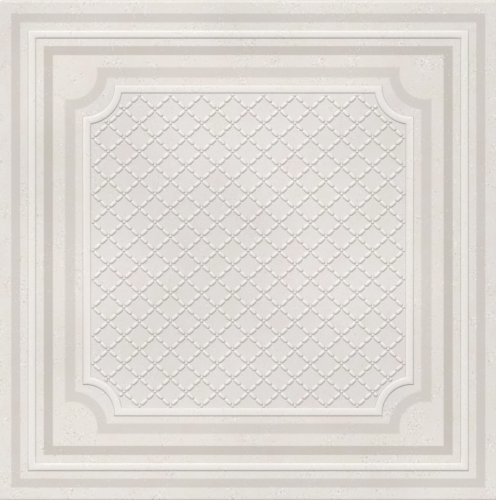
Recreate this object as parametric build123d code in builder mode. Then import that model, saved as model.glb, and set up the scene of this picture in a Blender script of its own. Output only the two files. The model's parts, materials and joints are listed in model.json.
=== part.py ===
from build123d import *
import os
from math import atan2, degrees, hypot

# Square glazed ceramic tile with a relief face, pressed and fired as one piece.
# Millimetres, +Z up. The tile lies on its back: the origin is the middle of the back, at z = 0.
# The tile is the same on both sides of its two middle planes, so one quarter is modelled and mirrored.

# Body
tile_side = 400.0
body_thickness = 8.0  # back to the flat of the face
rim_run = 2.0  # soft pressed rim round the face: its width on the face
rim_drop = 0.5  # and its depth on the side walls
back_chamfer = 0.8

# Grooves pressed into the back, to key the adhesive
groove_count = 12
groove_border = 10.0  # flat border round the grooves
groove_rib = 8.0  # rib between two grooves
groove_depth = 0.8
groove_draft = 25.0  # degrees

# Raised mouldings: a square one near the edge and one with scooped corners round the panel
moulding_width = 6.4
moulding_height = 1.15
shoulder_run = 1.2  # shoulder on each side of the crest: its width from above
shoulder_drop = 0.7  # and its depth below the crest
outer_moulding_inset = 23.4  # edge of the tile to the outer line of the moulding
inner_moulding_inset = 67.4
scoop_radius = 23.5  # at the outer line of the moulding
scoop_setback = 1.7  # centre of a scoop, in from the outer lines of the moulding

# Beaded trellis in the panel: a pearl at each crossing and two olives between neighbouring pearls
trellis_columns = 10
trellis_rows = 11
trellis_margin = 1.6  # moulding to the outermost crossings
pearl_radius = 1.25
pearl_height = 0.8
olive_width = 3.3
olive_height = 1.0
olive_ridge = 3.6  # length of the crest along the top of an olive
bead_gap = 0.2  # between neighbouring beads

# Worked out from the sizes above
half_side = tile_side / 2
face_plane = Plane.XY.offset(body_thickness)
groove_length = tile_side - 2 * groove_border
groove_pitch = (groove_length + groove_rib) / groove_count
groove_width = groove_pitch - groove_rib
panel_half = half_side - inner_moulding_inset - moulding_width
scoop_centre = half_side - inner_moulding_inset - scoop_setback
half_pitch_x = (panel_half - trellis_margin) / trellis_columns
half_pitch_y = (panel_half - trellis_margin) / trellis_rows
arm_length = hypot(half_pitch_x, half_pitch_y) / 2  # crossing to the middle between two crossings
olive_length = arm_length - pearl_radius - 1.5 * bead_gap
olive_centre = pearl_radius + bead_gap + olive_length / 2  # from its crossing


def quarter_square(half, mode=Mode.ADD):
    """The quarter with positive X and Y of a square, in the current sketch."""
    Rectangle(half, half, align=(Align.MIN, Align.MIN), mode=mode)


def bevel_crest(crest):
    """Bevels the shoulders along a moulding's crest, not its ends on the middle planes."""
    shoulders = [edge for edge in crest.edges() if min(edge.center().X, edge.center().Y) > 0]
    chamfer(shoulders, shoulder_run, shoulder_drop, reference=crest)


def quarter_panel(inset, mode=Mode.ADD):
    """The quarter of the scooped panel whose outline lies this far inside the moulding's outer line."""
    with BuildSketch(mode=Mode.PRIVATE) as outline:
        quarter_square(half_side - inner_moulding_inset - inset)
        with Locations((scoop_centre, scoop_centre)):
            Circle(scoop_radius + inset, mode=Mode.SUBTRACT)
    add(outline.sketch, mode=mode)


def in_panel(x, y):
    """True for a point of the quarter that lies clear inside the inner moulding."""
    reach = hypot(x - scoop_centre, y - scoop_centre)
    return reach > scoop_radius + moulding_width + trellis_margin


def crossings():
    """Column and row, in half pitches from the middle, of each trellis crossing in the quarter."""
    for column in range(trellis_columns + 1):
        for row in range(column % 2, trellis_rows + 1, 2):
            if in_panel(column * half_pitch_x, row * half_pitch_y):
                yield column, row


def arms(column, row):
    """Steps from a crossing to the neighbours that its arms point at, inside the quarter."""
    for step_x in (-1, 1):
        for step_y in (-1, 1):
            if 0 <= column + step_x <= trellis_columns and 0 <= row + step_y <= trellis_rows:
                yield step_x, step_y


pearl_places = []
olive_places = []
for column, row in crossings():
    crossing = Vector(column * half_pitch_x, row * half_pitch_y, body_thickness)
    pearl_places.append(Location(crossing))
    for step_x, step_y in arms(column, row):
        arm = Vector(step_x * half_pitch_x, step_y * half_pitch_y)
        middle = crossing + arm.normalized() * olive_centre
        olive_places.append(Location(middle, (0, 0, degrees(atan2(arm.Y, arm.X)))))

# A pearl is a four-sided point, with its corners on the tile's axes
pearl_points = [(pearl_radius, 0, 0), (-pearl_radius, 0, 0), (0, pearl_radius, 0), (0, -pearl_radius, 0)]
pearl_points.append((0, 0, pearl_height))

# An olive has pointed ends, is widest in the middle and carries a crest
olive_points = [(olive_length / 2, 0, 0), (-olive_length / 2, 0, 0)]
olive_points += [(0, olive_width / 2, 0), (0, -olive_width / 2, 0)]
olive_points += [(olive_ridge / 2, 0, olive_height), (-olive_ridge / 2, 0, olive_height)]

# Beads of the quarter, standing on the flat of the face
with BuildPart() as beads:
    with Locations(*olive_places):
        ConvexPolyhedron(olive_points)
    with Locations(*pearl_places):
        ConvexPolyhedron(pearl_points)

with BuildPart() as tile:
    # Quarter of the body, with its soft rim and its bevelled back edge
    with BuildSketch():
        quarter_square(half_side)
    extrude(amount=body_thickness)
    face = tile.faces().sort_by(Axis.Z)[-1]
    rim_edges = face.edges().sort_by(Axis.X)[-1:] + face.edges().sort_by(Axis.Y)[-1:]
    chamfer(rim_edges, rim_run, rim_drop, reference=face)
    back_edges = tile.edges().group_by(Axis.Z)[0]
    chamfer(back_edges.sort_by(Axis.X)[-1:] + back_edges.sort_by(Axis.Y)[-1:], back_chamfer)

    # Grooves in the back, narrowing inwards
    with BuildSketch():
        with GridLocations(groove_pitch, 0, groove_count, 1):
            Rectangle(groove_width, groove_length)
    extrude(amount=groove_depth, taper=groove_draft, mode=Mode.SUBTRACT)

    # Square moulding near the edge
    with BuildSketch(face_plane):
        quarter_square(half_side - outer_moulding_inset)
        quarter_square(half_side - outer_moulding_inset - moulding_width, mode=Mode.SUBTRACT)
    extrude(amount=moulding_height)
    bevel_crest(tile.faces().sort_by(Axis.Z)[-1])

    # Moulding with scooped corners round the panel
    with BuildSketch(face_plane):
        quarter_panel(0)
        quarter_panel(moulding_width, mode=Mode.SUBTRACT)
    extrude(amount=moulding_height)
    bevel_crest(tile.faces().group_by(Axis.Z)[-1].sort_by(Axis.X)[0])

    # Beaded trellis on the flat of the panel
    add(beads.part)

    # Trimmed at the two middle planes, then mirrored into the whole tile
    split(bisect_by=Plane.YZ, keep=Keep.TOP)
    split(bisect_by=Plane.XZ, keep=Keep.BOTTOM)
    mirror(about=Plane.YZ)
    mirror(about=Plane.XZ)

tile.part.label = "tile"

os.makedirs("parts", exist_ok=True)
export_step(tile.part, "parts/tile.step")
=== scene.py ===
# %% [markdown]
# A relief tile, modelled and glazed.
# The tile is one pressed and fired piece of ceramic: a flat body, a soft rim, a square moulding near
# the edge, a second moulding with scooped corners, and a trellis of small beads in the middle.
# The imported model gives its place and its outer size, and this script gives it the soft sections,
# the bead shapes and the glaze that a solid model leaves out.
# All the modelling is done in millimetres, and the finished mesh is scaled to metres once, at the end.

# %% Load the frame
import json
import math

import bmesh
import bpy
from mathutils import Color, Matrix, Vector

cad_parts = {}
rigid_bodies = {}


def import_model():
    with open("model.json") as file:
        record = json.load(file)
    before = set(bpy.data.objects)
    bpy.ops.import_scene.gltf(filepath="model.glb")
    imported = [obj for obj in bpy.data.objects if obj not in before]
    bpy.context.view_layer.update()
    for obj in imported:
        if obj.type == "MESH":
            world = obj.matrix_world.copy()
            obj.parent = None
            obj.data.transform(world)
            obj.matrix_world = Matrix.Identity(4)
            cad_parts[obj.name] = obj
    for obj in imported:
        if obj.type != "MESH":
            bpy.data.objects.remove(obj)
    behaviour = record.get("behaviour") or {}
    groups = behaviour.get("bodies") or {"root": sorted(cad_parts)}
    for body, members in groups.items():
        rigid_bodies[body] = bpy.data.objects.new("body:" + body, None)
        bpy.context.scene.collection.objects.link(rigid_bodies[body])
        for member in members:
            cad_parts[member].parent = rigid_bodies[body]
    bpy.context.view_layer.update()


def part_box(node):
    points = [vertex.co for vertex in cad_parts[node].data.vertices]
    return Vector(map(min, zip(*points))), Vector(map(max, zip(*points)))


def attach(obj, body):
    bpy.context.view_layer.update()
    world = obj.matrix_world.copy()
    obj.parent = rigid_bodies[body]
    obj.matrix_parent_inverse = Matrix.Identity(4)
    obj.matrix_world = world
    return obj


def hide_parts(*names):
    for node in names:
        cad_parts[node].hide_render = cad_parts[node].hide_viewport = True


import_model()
MM = 0.001  # metres in a millimetre
half_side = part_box("tile")[1].x / MM
print("half a side of the tile in mm:", round(half_side, 3))

# %% [markdown]
# The back.
# A pressed tile has shallow grooves on its back, so that the adhesive keys into it. They could be cut
# with booleans, but one flat square is enough: planes slice it along the groove edges, and an inset
# pushes the groove faces into the body with sloping walls, the way the press die forms them.

# %% Back, sliced along the grooves
back_chamfer = 0.8  # bevel round the back edge
groove_count = 12
groove_border = 10.0  # flat border round the grooves
groove_rib = 8.0  # rib between two grooves

groove_reach = half_side - groove_border
groove_pitch = (2 * groove_reach + groove_rib) / groove_count
groove_width = groove_pitch - groove_rib
groove_starts = [index * groove_pitch - groove_reach for index in range(groove_count)]


def slice_across(shape, place, direction):
    """Cuts every face of the flat shape along one plane."""
    everything = shape.verts[:] + shape.edges[:] + shape.faces[:]
    bmesh.ops.bisect_plane(shape, geom=everything, plane_co=place, plane_no=direction)


tile_shape = bmesh.new()
bmesh.ops.create_grid(tile_shape, x_segments=1, y_segments=1, size=half_side - back_chamfer)
for start in groove_starts:
    slice_across(tile_shape, (start, 0, 0), (1, 0, 0))
    slice_across(tile_shape, (start + groove_width, 0, 0), (1, 0, 0))
for side in (-1, 1):
    slice_across(tile_shape, (0, side * groove_reach, 0), (0, 1, 0))
print("faces of the sliced back:", len(tile_shape.faces))

# %% Grooves pressed in
groove_depth = 0.8
groove_draft = math.radians(25)  # lean of the groove walls


def in_groove(face):
    """True for a face that lies between the two edges of a groove."""
    middle = face.calc_center_median()
    between = any(start < middle.x < start + groove_width for start in groove_starts)
    return between and abs(middle.y) < groove_reach


groove_faces = [face for face in tile_shape.faces if in_groove(face)]
wall_run = groove_depth * math.tan(groove_draft)
bmesh.ops.inset_individual(
    tile_shape, faces=groove_faces, thickness=wall_run, depth=groove_depth, use_even_offset=True
)
print("grooves:", len(groove_faces))

# %% [markdown]
# Sides and rim.
# The rim of a pressed tile is soft, because the glaze draws back from a sharp edge. A bevel could make
# it, but here the open edge of the shell is carried up from the back step by step. Each step extrudes
# the edge, scales it about the middle of the tile, and lifts it. A list of insets and heights is then
# the whole section of the tile, like the template that a plasterer runs along a cornice.

# %% Sides and rim
face_height = 8.0  # back to the flat of the face
rim_run = 2.0  # width of the rounded rim, seen from above
rim_drop = 0.5  # and its depth on the side walls
rim_steps = 8
glaze_edge = 5.6  # height on the side walls to which the glaze runs down
quarter_turn = math.pi / 2


def open_edges(shape):
    """The edges that still have a face on one side only."""
    return [edge for edge in shape.edges if edge.is_boundary]


def carry_edge(shape, ring, half, height):
    """Extrudes a square ring of edges to a new half width and height, and gives the new ring."""
    grown = bmesh.ops.extrude_edge_only(shape, edges=ring)["geom"]
    points = [item for item in grown if isinstance(item, bmesh.types.BMVert)]
    scale = half / max(point.co.x for point in points)
    bmesh.ops.scale(shape, vec=(scale, scale, 1), verts=points)
    bmesh.ops.translate(shape, vec=(0, 0, height - points[0].co.z), verts=points)
    return [item for item in grown if isinstance(item, bmesh.types.BMEdge) and item.is_boundary]


side_section = [(0, back_chamfer), (0, glaze_edge)]
for step in range(rim_steps + 1):
    turn = quarter_turn * step / rim_steps
    drop = rim_drop * (1 - math.sin(turn))
    side_section.append((rim_run * (1 - math.cos(turn)), face_height - drop))
ring = open_edges(tile_shape)
for inset, height in side_section:
    ring = carry_edge(tile_shape, ring, half_side - inset, height)
print("faces of back, sides and rim:", len(tile_shape.faces))

# %% [markdown]
# Square moulding.
# Both mouldings have one section: a foot that the glaze softens, a steep shoulder, and a top that is
# crowned only a little. The steep shoulders matter most, because they catch the light on one side and
# lie in shade on the other, and that line is what the eye reads as relief. A curve with a bevel could
# run round the tile, but carrying the same open edge on keeps the tile one closed piece.

# %% Section of the mouldings
moulding_width = 6.4
moulding_height = 1.15
moulding_steps = 8  # from the foot to the crest
moulding_roundness = 0.72  # 1 is a half oval, and smaller values make its top flatter
glaze_foot = [(-0.2, 0), (-0.06, 0.05)]  # run and rise of the glaze that fills the corner

near_half = list(glaze_foot)
for step in range(1, moulding_steps):
    turn = quarter_turn * step / moulding_steps
    run = moulding_width / 2 * (1 - math.cos(turn) ** moulding_roundness)
    near_half.append((run, moulding_height * math.sin(turn) ** moulding_roundness))
far_half = [(moulding_width - run, rise) for run, rise in reversed(near_half)]
moulding_section = near_half + [(moulding_width / 2, moulding_height)] + far_half
print("points in the section of a moulding:", len(moulding_section))

# %% Square moulding
outer_moulding_inset = 23.4  # edge of the tile to the outer line of the moulding

for run, rise in moulding_section:
    ring = carry_edge(tile_shape, ring, half_side - outer_moulding_inset - run, face_height + rise)
print("faces with the square moulding:", len(tile_shape.faces))

# %% [markdown]
# Scooped moulding.
# The corners of the inner moulding are hollow arcs that meet the straight sides in sharp mitres.
# Scaling a ring would bend the mitres out of place, so each ring is laid out at its own distance
# inside the outer line, and bridge_loops joins each ring to the one before it. The flat field between
# the two mouldings is then filled in one go.

# %% Outline with scooped corners
inner_moulding_inset = 67.4  # edge of the tile to the outer line of the moulding
scoop_radius = 23.5  # at that outer line
scoop_setback = 1.7  # centre of a scoop, in from the outer lines
scoop_steps = 20
scoop_centre = half_side - inner_moulding_inset - scoop_setback


def scooped_outline(run):
    """Points round the panel, this far inside the outer line of the inner moulding."""
    radius = scoop_radius + run
    lean = (scoop_setback - run) / radius
    first = 2 * math.pi - math.acos(lean)
    last = math.pi - math.asin(lean)
    points = []
    for corner in range(4):
        turn = Matrix.Rotation(corner * quarter_turn, 3, "Z")
        for step in range(scoop_steps + 1):
            angle = first + (last - first) * step / scoop_steps
            reach = Vector((math.cos(angle), math.sin(angle), 0)) * radius
            points.append(turn @ (Vector((scoop_centre, scoop_centre, 0)) + reach))
    return points


print("points in the scooped outline:", len(scooped_outline(0)))


# %% Scooped moulding
def lay_ring(shape, points, height):
    """A closed ring of edges through the points."""
    verts = [shape.verts.new((point.x, point.y, height)) for point in points]
    return [shape.edges.new(pair) for pair in zip(verts, verts[1:] + verts[:1])]


rings = [
    lay_ring(tile_shape, scooped_outline(run), face_height + rise) for run, rise in moulding_section
]
for lower, upper in zip(rings, rings[1:]):
    bmesh.ops.bridge_loops(tile_shape, edges=lower + upper)
bmesh.ops.triangle_fill(tile_shape, edges=ring + rings[0], use_beauty=True, normal=(0, 0, 1))
print("faces with the scooped moulding:", len(tile_shape.faces))

# %% [markdown]
# Beads.
# The trellis is a string of small forms: a round pearl on each crossing, and two long olives between
# one crossing and the next. An olive is blunt, so that a strand reads as one line, and its crest falls
# towards both ends, so that each olive still catches a light of its own. A sphere could be squeezed
# into shape, but it has many faces that nobody sees. Here a circle of edges is pressed into a blunt
# oval, extruded upwards a few times and drawn in, so a bead costs a few dozen faces, and smooth
# shading does the rest. Both shapes are made once, as small meshes of their own.


# %% A bead
def bead(name, sides, length, width, height, rings, bluntness):
    """A small dome on a flat oval foot, left open underneath."""
    shape = bmesh.new()
    foot = bmesh.ops.create_circle(shape, segments=sides, radius=1)["verts"]
    half_segment = Matrix.Rotation(math.pi / sides, 3, "Z")
    bmesh.ops.rotate(shape, cent=(0, 0, 0), matrix=half_segment, verts=foot)
    for vert in foot:
        vert.co.xy = [math.copysign(abs(share) ** bluntness, share) for share in vert.co.xy]
    bmesh.ops.scale(shape, vec=(length / 2, width / 2, 1), verts=foot)
    edges = shape.edges[:]
    along, across, level = 1, 1, 0
    for new_along, new_across, new_level in rings:
        grown = bmesh.ops.extrude_edge_only(shape, edges=edges)["geom"]
        points = [item for item in grown if isinstance(item, bmesh.types.BMVert)]
        bmesh.ops.scale(shape, vec=(new_along / along, new_across / across, 1), verts=points)
        bmesh.ops.translate(shape, vec=(0, 0, (new_level - level) * height), verts=points)
        edges = [edge for edge in shape.edges if all(vert in points for vert in edge.verts)]
        along, across, level = new_along, new_across, new_level
    bmesh.ops.contextual_create(shape, geom=edges)
    mesh = bpy.data.meshes.new(name)
    shape.to_mesh(mesh)
    shape.free()
    return mesh


pearl_radius = 1.25
pearl_height = 0.8
pearl_sides = 8
pearl_bluntness = 1.0  # 1 is a true oval, and smaller values make its ends blunter
# Each ring of edges, as shares of the length, the width and the height
pearl_rings = [(0.92, 0.92, 0.35), (0.7, 0.7, 0.76), (0.36, 0.36, 0.98)]
pearl_width = 2 * pearl_radius
pearl = bead(
    "pearl", pearl_sides, pearl_width, pearl_width, pearl_height, pearl_rings, pearl_bluntness
)
print("faces of a pearl:", len(pearl.polygons))

# %% The olive
olive_width = 3.3
olive_height = 1.0
olive_sides = 12
olive_bluntness = 0.65
olive_rings = [(0.98, 0.97, 0.26), (0.9, 0.84, 0.6), (0.72, 0.56, 0.88), (0.45, 0.22, 1.0)]
olive_length = 1  # each olive is stretched to the length of its own place

olive = bead(
    "olive", olive_sides, olive_length, olive_width, olive_height, olive_rings, olive_bluntness
)
print("faces of an olive:", len(olive.polygons))

# %% [markdown]
# Trellis.
# Crossings lie on a grid of half pitches where column and row add up to an even number. Every crossing
# inside the panel gets a pearl and sends an olive along each of its arms. Beside the scooped corners
# an arm runs into the moulding, so its olive is made shorter and ends at the foot of the moulding.
# An array could repeat one diamond, but it could not trim itself at the hollow corners.

# %% Crossings and arms
trellis_columns = 10  # half pitches from the middle to the side
trellis_rows = 11
trellis_margin = 1.6  # moulding to the outermost crossings
trellis_half = half_side - inner_moulding_inset - moulding_width - trellis_margin
half_pitch_x = trellis_half / trellis_columns
half_pitch_y = trellis_half / trellis_rows
panel_scoop = scoop_radius + moulding_section[-1][0]


def clear_of_scoops(point):
    """How far a point lies from the nearest hollow corner of the moulding."""
    return math.hypot(abs(point.x) - scoop_centre, abs(point.y) - scoop_centre) - panel_scoop


def crossings():
    """Column, row and place of each crossing inside the panel."""
    for column in range(-trellis_columns, trellis_columns + 1):
        for row in range(-trellis_rows, trellis_rows + 1):
            place = Vector((column * half_pitch_x, row * half_pitch_y, face_height))
            if (column + row) % 2 == 0 and clear_of_scoops(place) > trellis_margin:
                yield column, row, place


def arms(column, row):
    """Directions from a crossing to its neighbours inside the trellis."""
    for step_x in (-1, 1):
        for step_y in (-1, 1):
            if abs(column + step_x) <= trellis_columns and abs(row + step_y) <= trellis_rows:
                yield Vector((step_x * half_pitch_x, step_y * half_pitch_y, 0)).normalized()


print("crossings in the panel:", len(list(crossings())))

# %% Beads stamped on the panel
bead_gap = 0.2  # between neighbouring beads
stub_gap = 0.9  # end of a shortened olive to the foot of the moulding
arm_length = math.hypot(half_pitch_x, half_pitch_y) / 2
olive_start = pearl_radius + bead_gap
olive_end = arm_length - bead_gap / 2


def stamp(mesh, matrix):
    """Adds a copy of a small mesh to the tile, in its place."""
    mesh.transform(matrix)
    tile_shape.from_mesh(mesh)
    mesh.transform(matrix.inverted())


def olive_on(place, arm):
    """The matrix that stretches and turns an olive and lays it on an arm."""
    end = olive_end
    while clear_of_scoops(place + arm * end) < stub_gap:
        end -= bead_gap
    turn = Matrix.Rotation(math.atan2(arm.y, arm.x), 4, "Z")
    stretch = Matrix.Diagonal((end - olive_start, 1, 1, 1))
    middle = Matrix.Translation(place + arm * (olive_start + end) / 2)
    return middle @ turn @ stretch


olives, pearls = 0, 0
for column, row, place in crossings():
    stamp(pearl, Matrix.Translation(place))
    pearls += 1
    for arm in arms(column, row):
        stamp(olive, olive_on(place, arm))
        olives += 1
bmesh.ops.triangle_fill(tile_shape, edges=open_edges(tile_shape), use_beauty=True, normal=(0, 0, 1))
print("olives:", olives, "pearls:", pearls, "open edges left:", len(open_edges(tile_shape)))

# %% [markdown]
# One closed piece.
# The shell is closed now, so its normals can be turned outwards in one go. Curved faces are shaded
# smooth and flat ones stay flat, because a large flat face that shares smoothed corners with a bead
# would show streaks. Edges with a real corner are marked sharp. Faces below the glaze line get the
# second material, the bare body.

# %% Shading of the mesh
corner_angle = math.radians(38)  # an edge that turns more than this is a corner
level_cosine = math.cos(math.radians(1))  # a face within a degree of an axis is flat

bmesh.ops.recalc_face_normals(tile_shape, faces=tile_shape.faces[:])
for face in tile_shape.faces:
    level = face.calc_center_median().z
    flat = max(abs(axis) for axis in face.normal) > level_cosine
    face.smooth = not flat and level >= face_height - rim_drop
    face.material_index = int(level < glaze_edge)
for edge in tile_shape.edges:
    edge.smooth = edge.calc_face_angle(0) < corner_angle
print("sharp edges:", sum(not edge.smooth for edge in tile_shape.edges))

# %% The tile as a piece
loose = [edge for edge in tile_shape.edges if not edge.is_manifold]
bmesh.ops.scale(tile_shape, vec=(MM, MM, MM), verts=tile_shape.verts[:])
tile_mesh = bpy.data.meshes.new("glazed_tile")
tile_shape.to_mesh(tile_mesh)
tile_shape.free()
tile_piece = bpy.data.objects.new("glazed_tile", tile_mesh)
bpy.context.scene.collection.objects.link(tile_piece)
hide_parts("tile")
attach(tile_piece, "root")
tile_mesh.calc_loop_triangles()
print("triangles:", len(tile_mesh.loop_triangles), "edges that are not closed:", len(loose))

# %% [markdown]
# Tools for the finishes.
# A finish is a tree of nodes. It could be wired by hand in the shader editor, but a few small helpers
# keep the trees short and readable here: one adds a node and links its inputs, and one lays a colour
# over another. Colours are written as they look on a screen, from 0 to 255, and turned into the
# linear values that a shader reads. A new finish hands out the place on the piece in millimetres.

# %% Colours and nodes
screen_white = 255
mix_share, mix_under, mix_over = 0, 6, 7  # the colour sockets of a Mix node, by their places
mix_result = 2


def on_screen(red, green, blue):
    """A screen colour as the linear colour of a shader socket."""
    seen = Color((red / screen_white, green / screen_white, blue / screen_white))
    return (*seen.from_srgb_to_scene_linear(), 1)


def add_node(tree, kind, inputs, **settings):
    """A node with its settings, and with values or links on its inputs."""
    node = tree.nodes.new(kind)
    for name, value in settings.items():
        setattr(node, name, value)
    for key, value in inputs.items():
        if isinstance(value, bpy.types.NodeSocket):
            tree.links.new(value, node.inputs[key])
        else:
            node.inputs[key].default_value = value
    return node


def paint(tree, share, under, over, blend="MIX"):
    """The colour over laid on the colour under, opaque or as a thin wash."""
    inputs = {mix_share: share, mix_under: under, mix_over: over}
    mixed = add_node(tree, "ShaderNodeMix", inputs, data_type="RGBA", blend_type=blend)
    return mixed.outputs[mix_result]


def new_finish(name):
    """A material with an empty tree but for its shader, and the place on the piece in millimetres."""
    finish = bpy.data.materials.new(name)
    finish.use_nodes = True
    tree = finish.node_tree
    shader = tree.nodes["Principled BSDF"]
    object_place = add_node(tree, "ShaderNodeTexCoord", {}).outputs["Object"]
    inputs = {0: object_place, "Scale": 1 / MM}
    place = add_node(tree, "ShaderNodeVectorMath", inputs, operation="SCALE").outputs[0]
    return finish, tree, shader, place


print("white on a screen as a shader colour:", on_screen(screen_white, screen_white, screen_white))

# %% [markdown]
# Patterns.
# Everything that varies over the tile comes from two kinds of pattern: soft steps, which turn a
# distance or a noise into a share from nothing to all, and clouds of noise. A span gives the two
# values between which a step rises. Where its first value is the larger one, the step falls.


# %% Steps, stripes and clouds
def sums(tree, operation, *values):
    """The result of one piece of arithmetic."""
    return add_node(tree, "ShaderNodeMath", dict(enumerate(values)), operation=operation).outputs[0]


def soft_step(tree, value, span, low=0.0, high=1.0):
    """Goes smoothly from low to high while the value goes through the span."""
    start, end = span
    inputs = {"Value": value, "From Min": start, "From Max": end, "To Min": low, "To Max": high}
    step = add_node(tree, "ShaderNodeMapRange", inputs, interpolation_type="SMOOTHSTEP")
    return step.outputs["Result"]


def stripe(tree, value, start, width, soft):
    """One between start and start plus width, and zero outside, with soft edges."""
    end = start + width
    enter = soft_step(tree, value, (start - soft, start + soft))
    leave = soft_step(tree, value, (end - soft, end + soft), 1.0, 0.0)
    return sums(tree, "MULTIPLY", enter, leave)


def cloud(tree, place, size, detail=2.0, roughness=0.5):
    """Soft noise whose patches are about size across, in millimetres."""
    inputs = {"Vector": place, "Scale": 1 / size, "Detail": detail, "Roughness": roughness}
    return add_node(tree, "ShaderNodeTexNoise", inputs, noise_dimensions="3D").outputs["Fac"]


print("pattern helpers are ready")

# %% [markdown]
# Glaze: where the bands are.
# Three flat taupe bands are printed under the satin cream glaze. They could be faces of their own, but
# a print has no thickness, so they are colour only. The distance from the edge of the tile says where
# the two square bands are. The shorter of that distance and the distance from a scoop says where the
# scooped band is, and the same sum with other sizes marks the panel inside the inner moulding.

# %% Distances on the face
glaze, glaze_tree, glaze_shader, glaze_place = new_finish("cream_glaze")
axes = add_node(glaze_tree, "ShaderNodeSeparateXYZ", {0: glaze_place}).outputs
across = sums(glaze_tree, "ABSOLUTE", axes["X"])
along = sums(glaze_tree, "ABSOLUTE", axes["Y"])
from_edge = sums(glaze_tree, "SUBTRACT", half_side, sums(glaze_tree, "MAXIMUM", across, along))


def inside_scoops(line_inset, scoop_inset, radius):
    """How far inside a square line with scooped corners a point of the face lies."""
    scoop_x = sums(glaze_tree, "SUBTRACT", across, half_side - scoop_inset)
    scoop_y = sums(glaze_tree, "SUBTRACT", along, half_side - scoop_inset)
    square_x = sums(glaze_tree, "MULTIPLY", scoop_x, scoop_x)
    square_y = sums(glaze_tree, "MULTIPLY", scoop_y, scoop_y)
    reach = sums(glaze_tree, "SQRT", sums(glaze_tree, "ADD", square_x, square_y))
    from_scoop = sums(glaze_tree, "SUBTRACT", reach, radius)
    from_line = sums(glaze_tree, "SUBTRACT", from_edge, line_inset)
    return sums(glaze_tree, "MINIMUM", from_line, from_scoop)


panel_inset = inner_moulding_inset + moulding_width
panel_scoop_inset = inner_moulding_inset + scoop_setback
in_panel = inside_scoops(panel_inset, panel_scoop_inset, scoop_radius + moulding_width)
print("edge of the tile to the panel in mm:", round(panel_inset, 1))

# %% Printed bands
outer_band = (10.0, 7.2)  # inset from the edge of the tile, and width
middle_band = (36.1, 7.3)
scooped_band = (53.1, 8.3)
band_scoop_inset = 58.2  # edges of the tile to the centre of the band's hollow corner
band_scoop_radius = 20.7
print_softness = 0.45  # half the width of a band's soft edge
scooped_softness = 0.9

from_outline = inside_scoops(scooped_band[0], band_scoop_inset, band_scoop_radius)
outer_print = stripe(glaze_tree, from_edge, *outer_band, print_softness)
middle_print = stripe(glaze_tree, from_edge, *middle_band, print_softness)
scooped_print = stripe(glaze_tree, from_outline, 0, scooped_band[1], scooped_softness)
print("bands, inset and width:", outer_band, middle_band, scooped_band)

# %% [markdown]
# Glaze: cream and taupe.
# The cream is not one colour all over: it is a little rosier between the bands and a little cooler in
# the panel. Two soft steps by the distance from the edge change it. The taupe bands are laid over it,
# each with its own colour, because the three prints are not equally strong.

# %% Cream and taupe
cream_rim = on_screen(230, 226, 221)
cream_field = on_screen(232, 226, 221)
cream_panel = on_screen(228, 224, 221)
rim_to_field = (15, 55)  # distances from the edge between which one cream goes over into the next
field_to_panel = (65, 80)
taupe_outer = on_screen(212, 206, 201)
taupe_middle = on_screen(205, 198, 192)
taupe_scooped = on_screen(216, 210, 205)

cream = paint(glaze_tree, soft_step(glaze_tree, from_edge, rim_to_field), cream_rim, cream_field)
cream = paint(glaze_tree, soft_step(glaze_tree, from_edge, field_to_panel), cream, cream_panel)
colour = paint(glaze_tree, outer_print, cream, taupe_outer)
colour = paint(glaze_tree, middle_print, colour, taupe_middle)
colour = paint(glaze_tree, scooped_print, colour, taupe_scooped)
print("nodes for cream and bands:", len(glaze_tree.nodes))

# %% [markdown]
# Glaze: tint and haze.
# A fired glaze is never quite even. Small patches lean a little to pink or to yellow green, and a much
# slower haze, from uneven heat in the kiln, darkens parts of the tile by a few shades. A painted
# picture could hold both, but noise needs no file. It is used as a wash that multiplies the colour
# below it, so that cream and bands change together.

# %% Tint and haze
tint_patch = 22  # size of the patches in millimetres
rosy_span = (0.5, 0.7)
green_span = (0.5, 0.3)
rosy_wash = on_screen(255, 251, 251)
green_wash = on_screen(253, 254, 249)
haze_patch = 130
haze_detail = 1.0
haze_span = (0.64, 0.38)
haze_place = (0.0, 0.0, 1190.0)  # which part of the endless noise falls on the tile
kiln_haze = on_screen(247, 247, 247)

tint = cloud(glaze_tree, glaze_place, tint_patch)
colour = paint(glaze_tree, soft_step(glaze_tree, tint, rosy_span), colour, rosy_wash, "MULTIPLY")
colour = paint(glaze_tree, soft_step(glaze_tree, tint, green_span), colour, green_wash, "MULTIPLY")
drift_inputs = {"Vector": glaze_place, "Location": haze_place}
drift = add_node(glaze_tree, "ShaderNodeMapping", drift_inputs).outputs[0]
haze = soft_step(glaze_tree, cloud(glaze_tree, drift, haze_patch, haze_detail), haze_span)
colour = paint(glaze_tree, haze, colour, kiln_haze, "MULTIPLY")
print("nodes with tint and haze:", len(glaze_tree.nodes))

# %% [markdown]
# Glaze: flecks.
# Tiny light and dark flecks lie in the glaze in loose clusters, like the grain of limestone. They could
# be scattered one by one, but one fine noise gives both kinds: its peaks are the light ones and its
# hollows the dark ones. A slower noise says where the clusters are. The flecks are fainter on the bands
# and in the panel, as on the real tile.

# %% Flecks
cluster_patch = 14
cluster_detail = 3.0
cluster_roughness = 0.7
cluster_span = (0.45, 0.65)
stray_share = 0.15  # strength of the flecks between the clusters
flecks_on_bands = 0.4  # share of their strength that is left on the bands
flecks_in_panel = 0.5
fleck_size = 1.4
fleck_detail = 2.0
light_span = (0.57, 0.7)
light_strength = 0.8
light_fleck = on_screen(249, 247, 244)
dark_span = (0.43, 0.3)
dark_strength = 0.6
dark_fleck = on_screen(172, 167, 163)
mask_span = (0.0, 1.0)  # a share of print, or millimetres inside the panel

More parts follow.
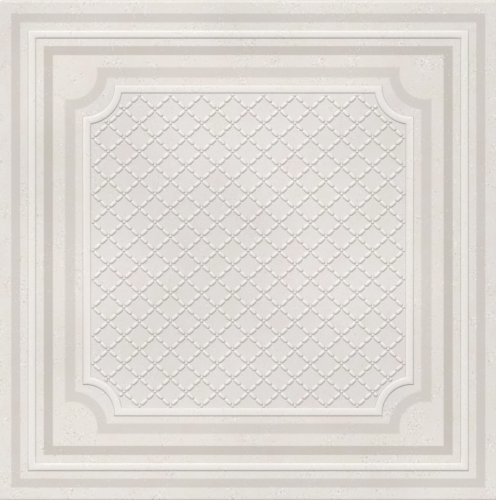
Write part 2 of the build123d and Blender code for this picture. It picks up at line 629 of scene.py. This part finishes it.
square_print = sums(glaze_tree, "MAXIMUM", outer_print, middle_print)
printed = sums(glaze_tree, "MAXIMUM", square_print, scooped_print)
cluster_noise = cloud(glaze_tree, glaze_place, cluster_patch, cluster_detail, cluster_roughness)
cluster = soft_step(glaze_tree, cluster_noise, cluster_span, stray_share)
for mask, share_left in ((printed, flecks_on_bands), (in_panel, flecks_in_panel)):
    thinning = soft_step(glaze_tree, mask, mask_span, 1.0, share_left)
    cluster = sums(glaze_tree, "MULTIPLY", cluster, thinning)
grain = cloud(glaze_tree, glaze_place, fleck_size, fleck_detail)
light = soft_step(glaze_tree, grain, light_span, 0.0, light_strength)
dark = soft_step(glaze_tree, grain, dark_span, 0.0, dark_strength)
colour = paint(glaze_tree, sums(glaze_tree, "MULTIPLY", light, cluster), colour, light_fleck)
colour = paint(glaze_tree, sums(glaze_tree, "MULTIPLY", dark, cluster), colour, dark_fleck)
print("nodes with flecks:", len(glaze_tree.nodes))

# %% [markdown]
# Glaze: raised parts, and painted shade on the flanks.
# Crests carry a whiter coat. Steep flanks are darkened with painted shade, in place of the shade
# that falls on them. Both could be painted on vertices, but the tile knows them already: the height
# above the face gives the crests, and the upward part of the surface's direction gives the flanks.
# The beads are small, so their flanks get less of the painted shade than the mouldings' do.

# %% Raised parts and painted shade on the flanks
coat_start = 0.2  # heights above the face between which the whiter coat comes in
coat_full = 0.8
raised_coat = 0.4  # share of the whiter coat on a crest
raised_white = on_screen(242, 240, 236)
steep_span = (0.92, 0.4)  # 1 is a level surface, and 0 an upright one
bead_flank_shade = 0.5  # share of the painted shade on the flanks of the beads
panel_line = (-print_softness, print_softness)
# painted shade: the colour that darkens steep flanks, standing in for the shade that falls there
painted_flank_shade = on_screen(196, 194, 191)

raised_span = (face_height + coat_start, face_height + coat_full)
raised = soft_step(glaze_tree, axes["Z"], raised_span, 0.0, raised_coat)
colour = paint(glaze_tree, raised, colour, raised_white)
facing = add_node(glaze_tree, "ShaderNodeTexCoord", {}).outputs["Normal"]
upward = add_node(glaze_tree, "ShaderNodeSeparateXYZ", {0: facing}).outputs["Z"]
# painted shade on steep flanks, full on the mouldings and weaker on the beads in the panel
flank_shade_share = soft_step(glaze_tree, in_panel, panel_line, 1.0, bead_flank_shade)
flank_shade = sums(glaze_tree, "MULTIPLY", soft_step(glaze_tree, upward, steep_span), flank_shade_share)
colour = paint(glaze_tree, flank_shade, colour, painted_flank_shade, "MULTIPLY")
glaze_tree.links.new(colour, glaze_shader.inputs["Base Color"])
print("nodes with raised parts and flanks:", len(glaze_tree.nodes))

# %% [markdown]
# Glaze: the satin surface.
# A satin glaze has no mirror gloss. Its surface is very slightly rippled, and it shines a little more
# in the hollows of the ripple than on its tops. One noise gives both, as bump and as roughness.

# %% Satin surface
ripple_size = 2.6
ripple_detail = 3.0
ripple_strength = 0.12
ripple_depth = 0.25
ripple_span = (0.3, 0.7)
satin_roughness = (0.48, 0.6)

ripple = cloud(glaze_tree, glaze_place, ripple_size, ripple_detail)
ripple_inputs = {"Height": ripple, "Strength": ripple_strength, "Distance": ripple_depth * MM}
ripple_bump = add_node(glaze_tree, "ShaderNodeBump", ripple_inputs)
glaze_tree.links.new(ripple_bump.outputs["Normal"], glaze_shader.inputs["Normal"])
satin = soft_step(glaze_tree, ripple, ripple_span, *satin_roughness)
glaze_tree.links.new(satin, glaze_shader.inputs["Roughness"])
print("nodes in the glaze:", len(glaze_tree.nodes))

# %% [markdown]
# Fired body.
# Below the glaze the side walls and the back show the bare ceramic: a pale biscuit colour, dull and
# dry, with a sandy grain. It is a second material on the same mesh, because the body and its glaze
# are one piece.

# %% Colour of the body
biscuit, body_tree, body_shader, body_place = new_finish("fired_body")
biscuit_pale = on_screen(219, 207, 191)
biscuit_dark = on_screen(206, 192, 174)
kiln_patch = 45
kiln_span = (0.35, 0.65)
sand_size = 0.9
sand_detail = 3.0
sand_roughness = 0.6
sand_share = 0.5
pale_sand = on_screen(232, 224, 212)
pale_sand_span = (0.62, 0.75)
dark_sand = on_screen(176, 160, 142)
dark_sand_span = (0.38, 0.25)

sand = cloud(body_tree, body_place, sand_size, sand_detail, sand_roughness)
kiln_cloud = soft_step(body_tree, cloud(body_tree, body_place, kiln_patch), kiln_span)
clay = paint(body_tree, kiln_cloud, biscuit_pale, biscuit_dark)
for grain_colour, span in ((pale_sand, pale_sand_span), (dark_sand, dark_sand_span)):
    clay = paint(body_tree, soft_step(body_tree, sand, span, 0.0, sand_share), clay, grain_colour)
body_tree.links.new(clay, body_shader.inputs["Base Color"])
print("nodes for the colour of the body:", len(body_tree.nodes))

# %% Grain of the body
sand_span = (0.3, 0.7)
dull_roughness = (0.78, 0.92)
sand_strength = 0.3
sand_depth = 0.3

dull = soft_step(body_tree, sand, sand_span, *dull_roughness)
body_tree.links.new(dull, body_shader.inputs["Roughness"])
sand_inputs = {"Height": sand, "Strength": sand_strength, "Distance": sand_depth * MM}
sand_bump = add_node(body_tree, "ShaderNodeBump", sand_inputs)
body_tree.links.new(sand_bump.outputs["Normal"], body_shader.inputs["Normal"])
tile_mesh.materials.append(glaze)
tile_mesh.materials.append(biscuit)
print("finishes on the tile:", [finish.name for finish in tile_mesh.materials])

# %% [markdown]
# Floor.
# The tile lies on a plain pale floor. A plane would do, but the floor has to let the back be seen as
# well. So it has one side only: seen from underneath it is clear. For the same reason it is open under
# the tile, where light could not reach the back otherwise. The tile covers the opening from above.

# %% Floor
floor_half = 6.0  # in metres
floor_lap = 0.2  # how far the floor reaches under the foot of the tile, in millimetres
opening_half = (half_side - back_chamfer - floor_lap) * MM

floor_shape = bmesh.new()
bmesh.ops.create_grid(floor_shape, x_segments=1, y_segments=1, size=floor_half)
opening = floor_shape.faces[:]
bmesh.ops.inset_individual(
    floor_shape, faces=opening, thickness=floor_half - opening_half, use_even_offset=True
)
bmesh.ops.delete(floor_shape, geom=opening, context="FACES_ONLY")
floor_mesh = bpy.data.meshes.new("floor")
floor_shape.to_mesh(floor_mesh)
floor_shape.free()
floor = bpy.data.objects.new("floor", floor_mesh)
bpy.context.scene.collection.objects.link(floor)
print("floor and its opening, half widths in m:", floor_half, round(opening_half, 3))

# %% Finish of the floor
floor_finish, floor_tree, floor_shader, floor_place = new_finish("pale_floor")
floor_grey = on_screen(226, 225, 222)
floor_pale = on_screen(232, 231, 229)
floor_patch = 300
floor_roughness = 0.9

shade = paint(floor_tree, cloud(floor_tree, floor_place, floor_patch), floor_grey, floor_pale)
floor_tree.links.new(shade, floor_shader.inputs["Base Color"])
floor_shader.inputs["Roughness"].default_value = floor_roughness
under_side = add_node(floor_tree, "ShaderNodeNewGeometry", {}).outputs["Backfacing"]
clear = add_node(floor_tree, "ShaderNodeBsdfTransparent", {}).outputs[0]
side_inputs = {0: under_side, 1: floor_shader.outputs[0], 2: clear}
one_sided = add_node(floor_tree, "ShaderNodeMixShader", side_inputs).outputs[0]
floor_tree.links.new(one_sided, floor_tree.nodes["Material Output"].inputs["Surface"])
floor_mesh.materials.append(floor_finish)
print("nodes in the finish of the floor:", len(floor_tree.nodes))

# %% [markdown]
# Light.
# Relief this low is only seen when light comes across it. One soft lamp stands beyond the top edge and
# a little to the left, so that every shoulder that faces it is bright and every one that faces away
# is in shade. More lamps would wash that out, so an even white surround fills the shade instead.
# Together they light a level face so that its colour looks about as it is written. What the camera and
# a reflection see of the surround is a pale backdrop of its own, which adds no light to dull surfaces.

# %% Window lamp
lamp_height = math.radians(48)
lamp_left = math.radians(13)
lamp_level = 2.15
lamp_softness = math.radians(5)  # how wide the lamp looks from the tile

lamp_data = bpy.data.lights.new("window_lamp", "SUN")
lamp_data.energy = lamp_level
lamp_data.angle = lamp_softness
lamp = bpy.data.objects.new("window_lamp", lamp_data)
level_way = Vector((-math.sin(lamp_left), math.cos(lamp_left), 0)) * math.cos(lamp_height)
to_lamp = level_way + Vector((0, 0, math.sin(lamp_height)))
lamp.rotation_euler = to_lamp.to_track_quat("Z", "Y").to_euler()
bpy.context.scene.collection.objects.link(lamp)
print("way to the lamp:", [round(part, 2) for part in to_lamp])

# %% Studio surround
fill_white = (1, 1, 1, 1)
fill_level = 0.485
backdrop_grey = on_screen(236, 236, 235)
backdrop_level = 1.0

surround = bpy.data.worlds.new("studio")
surround.use_nodes = True
bpy.context.scene.world = surround
world_tree = surround.node_tree
fill = world_tree.nodes["Background"]
fill.inputs["Color"].default_value = fill_white
fill.inputs["Strength"].default_value = fill_level
backdrop_inputs = {"Color": backdrop_grey, "Strength": backdrop_level}
backdrop = add_node(world_tree, "ShaderNodeBackground", backdrop_inputs)
rays = add_node(world_tree, "ShaderNodeLightPath", {}).outputs
seen = sums(world_tree, "MAXIMUM", rays["Is Camera Ray"], rays["Is Glossy Ray"])
seen = sums(world_tree, "MAXIMUM", seen, rays["Is Transmission Ray"])
ray_inputs = {0: seen, 1: fill.outputs[0], 2: backdrop.outputs[0]}
either = add_node(world_tree, "ShaderNodeMixShader", ray_inputs).outputs[0]
world_tree.links.new(either, world_tree.nodes["World Output"].inputs["Surface"])
bpy.context.scene.view_settings.view_transform = "Standard"
print("levels of lamp and fill:", lamp_level, fill_level)

# %% [markdown]
# Camera.
# The tile is seen straight from above and fills the picture. An orthographic camera would do for this
# one view, but it shows no depth from any other. A long lens far away keeps the sides of the tile out
# of sight as well, as a copy stand would. The picture is higher than wide, so the sensor's width is
# what its height is measured by.

# %% Camera
picture_height = 500  # in pixels
tile_in_picture = 499
camera_height = 5.0  # above the face, in metres
camera_right = -0.2  # from the middle of the tile, in millimetres
camera_up = 0.4
sensor_width = 36
far_limit = 100

camera_data = bpy.data.cameras.new("copy_stand")
camera_data.sensor_width = sensor_width
seen_height = 2 * half_side * MM * picture_height / tile_in_picture
camera_data.lens = sensor_width * camera_height / seen_height
camera_data.clip_end = far_limit
camera = bpy.data.objects.new("copy_stand", camera_data)
camera.location = (camera_right * MM, camera_up * MM, face_height * MM + camera_height)
bpy.context.scene.collection.objects.link(camera)
bpy.context.scene.camera = camera
print("lens in mm:", round(camera_data.lens, 1))
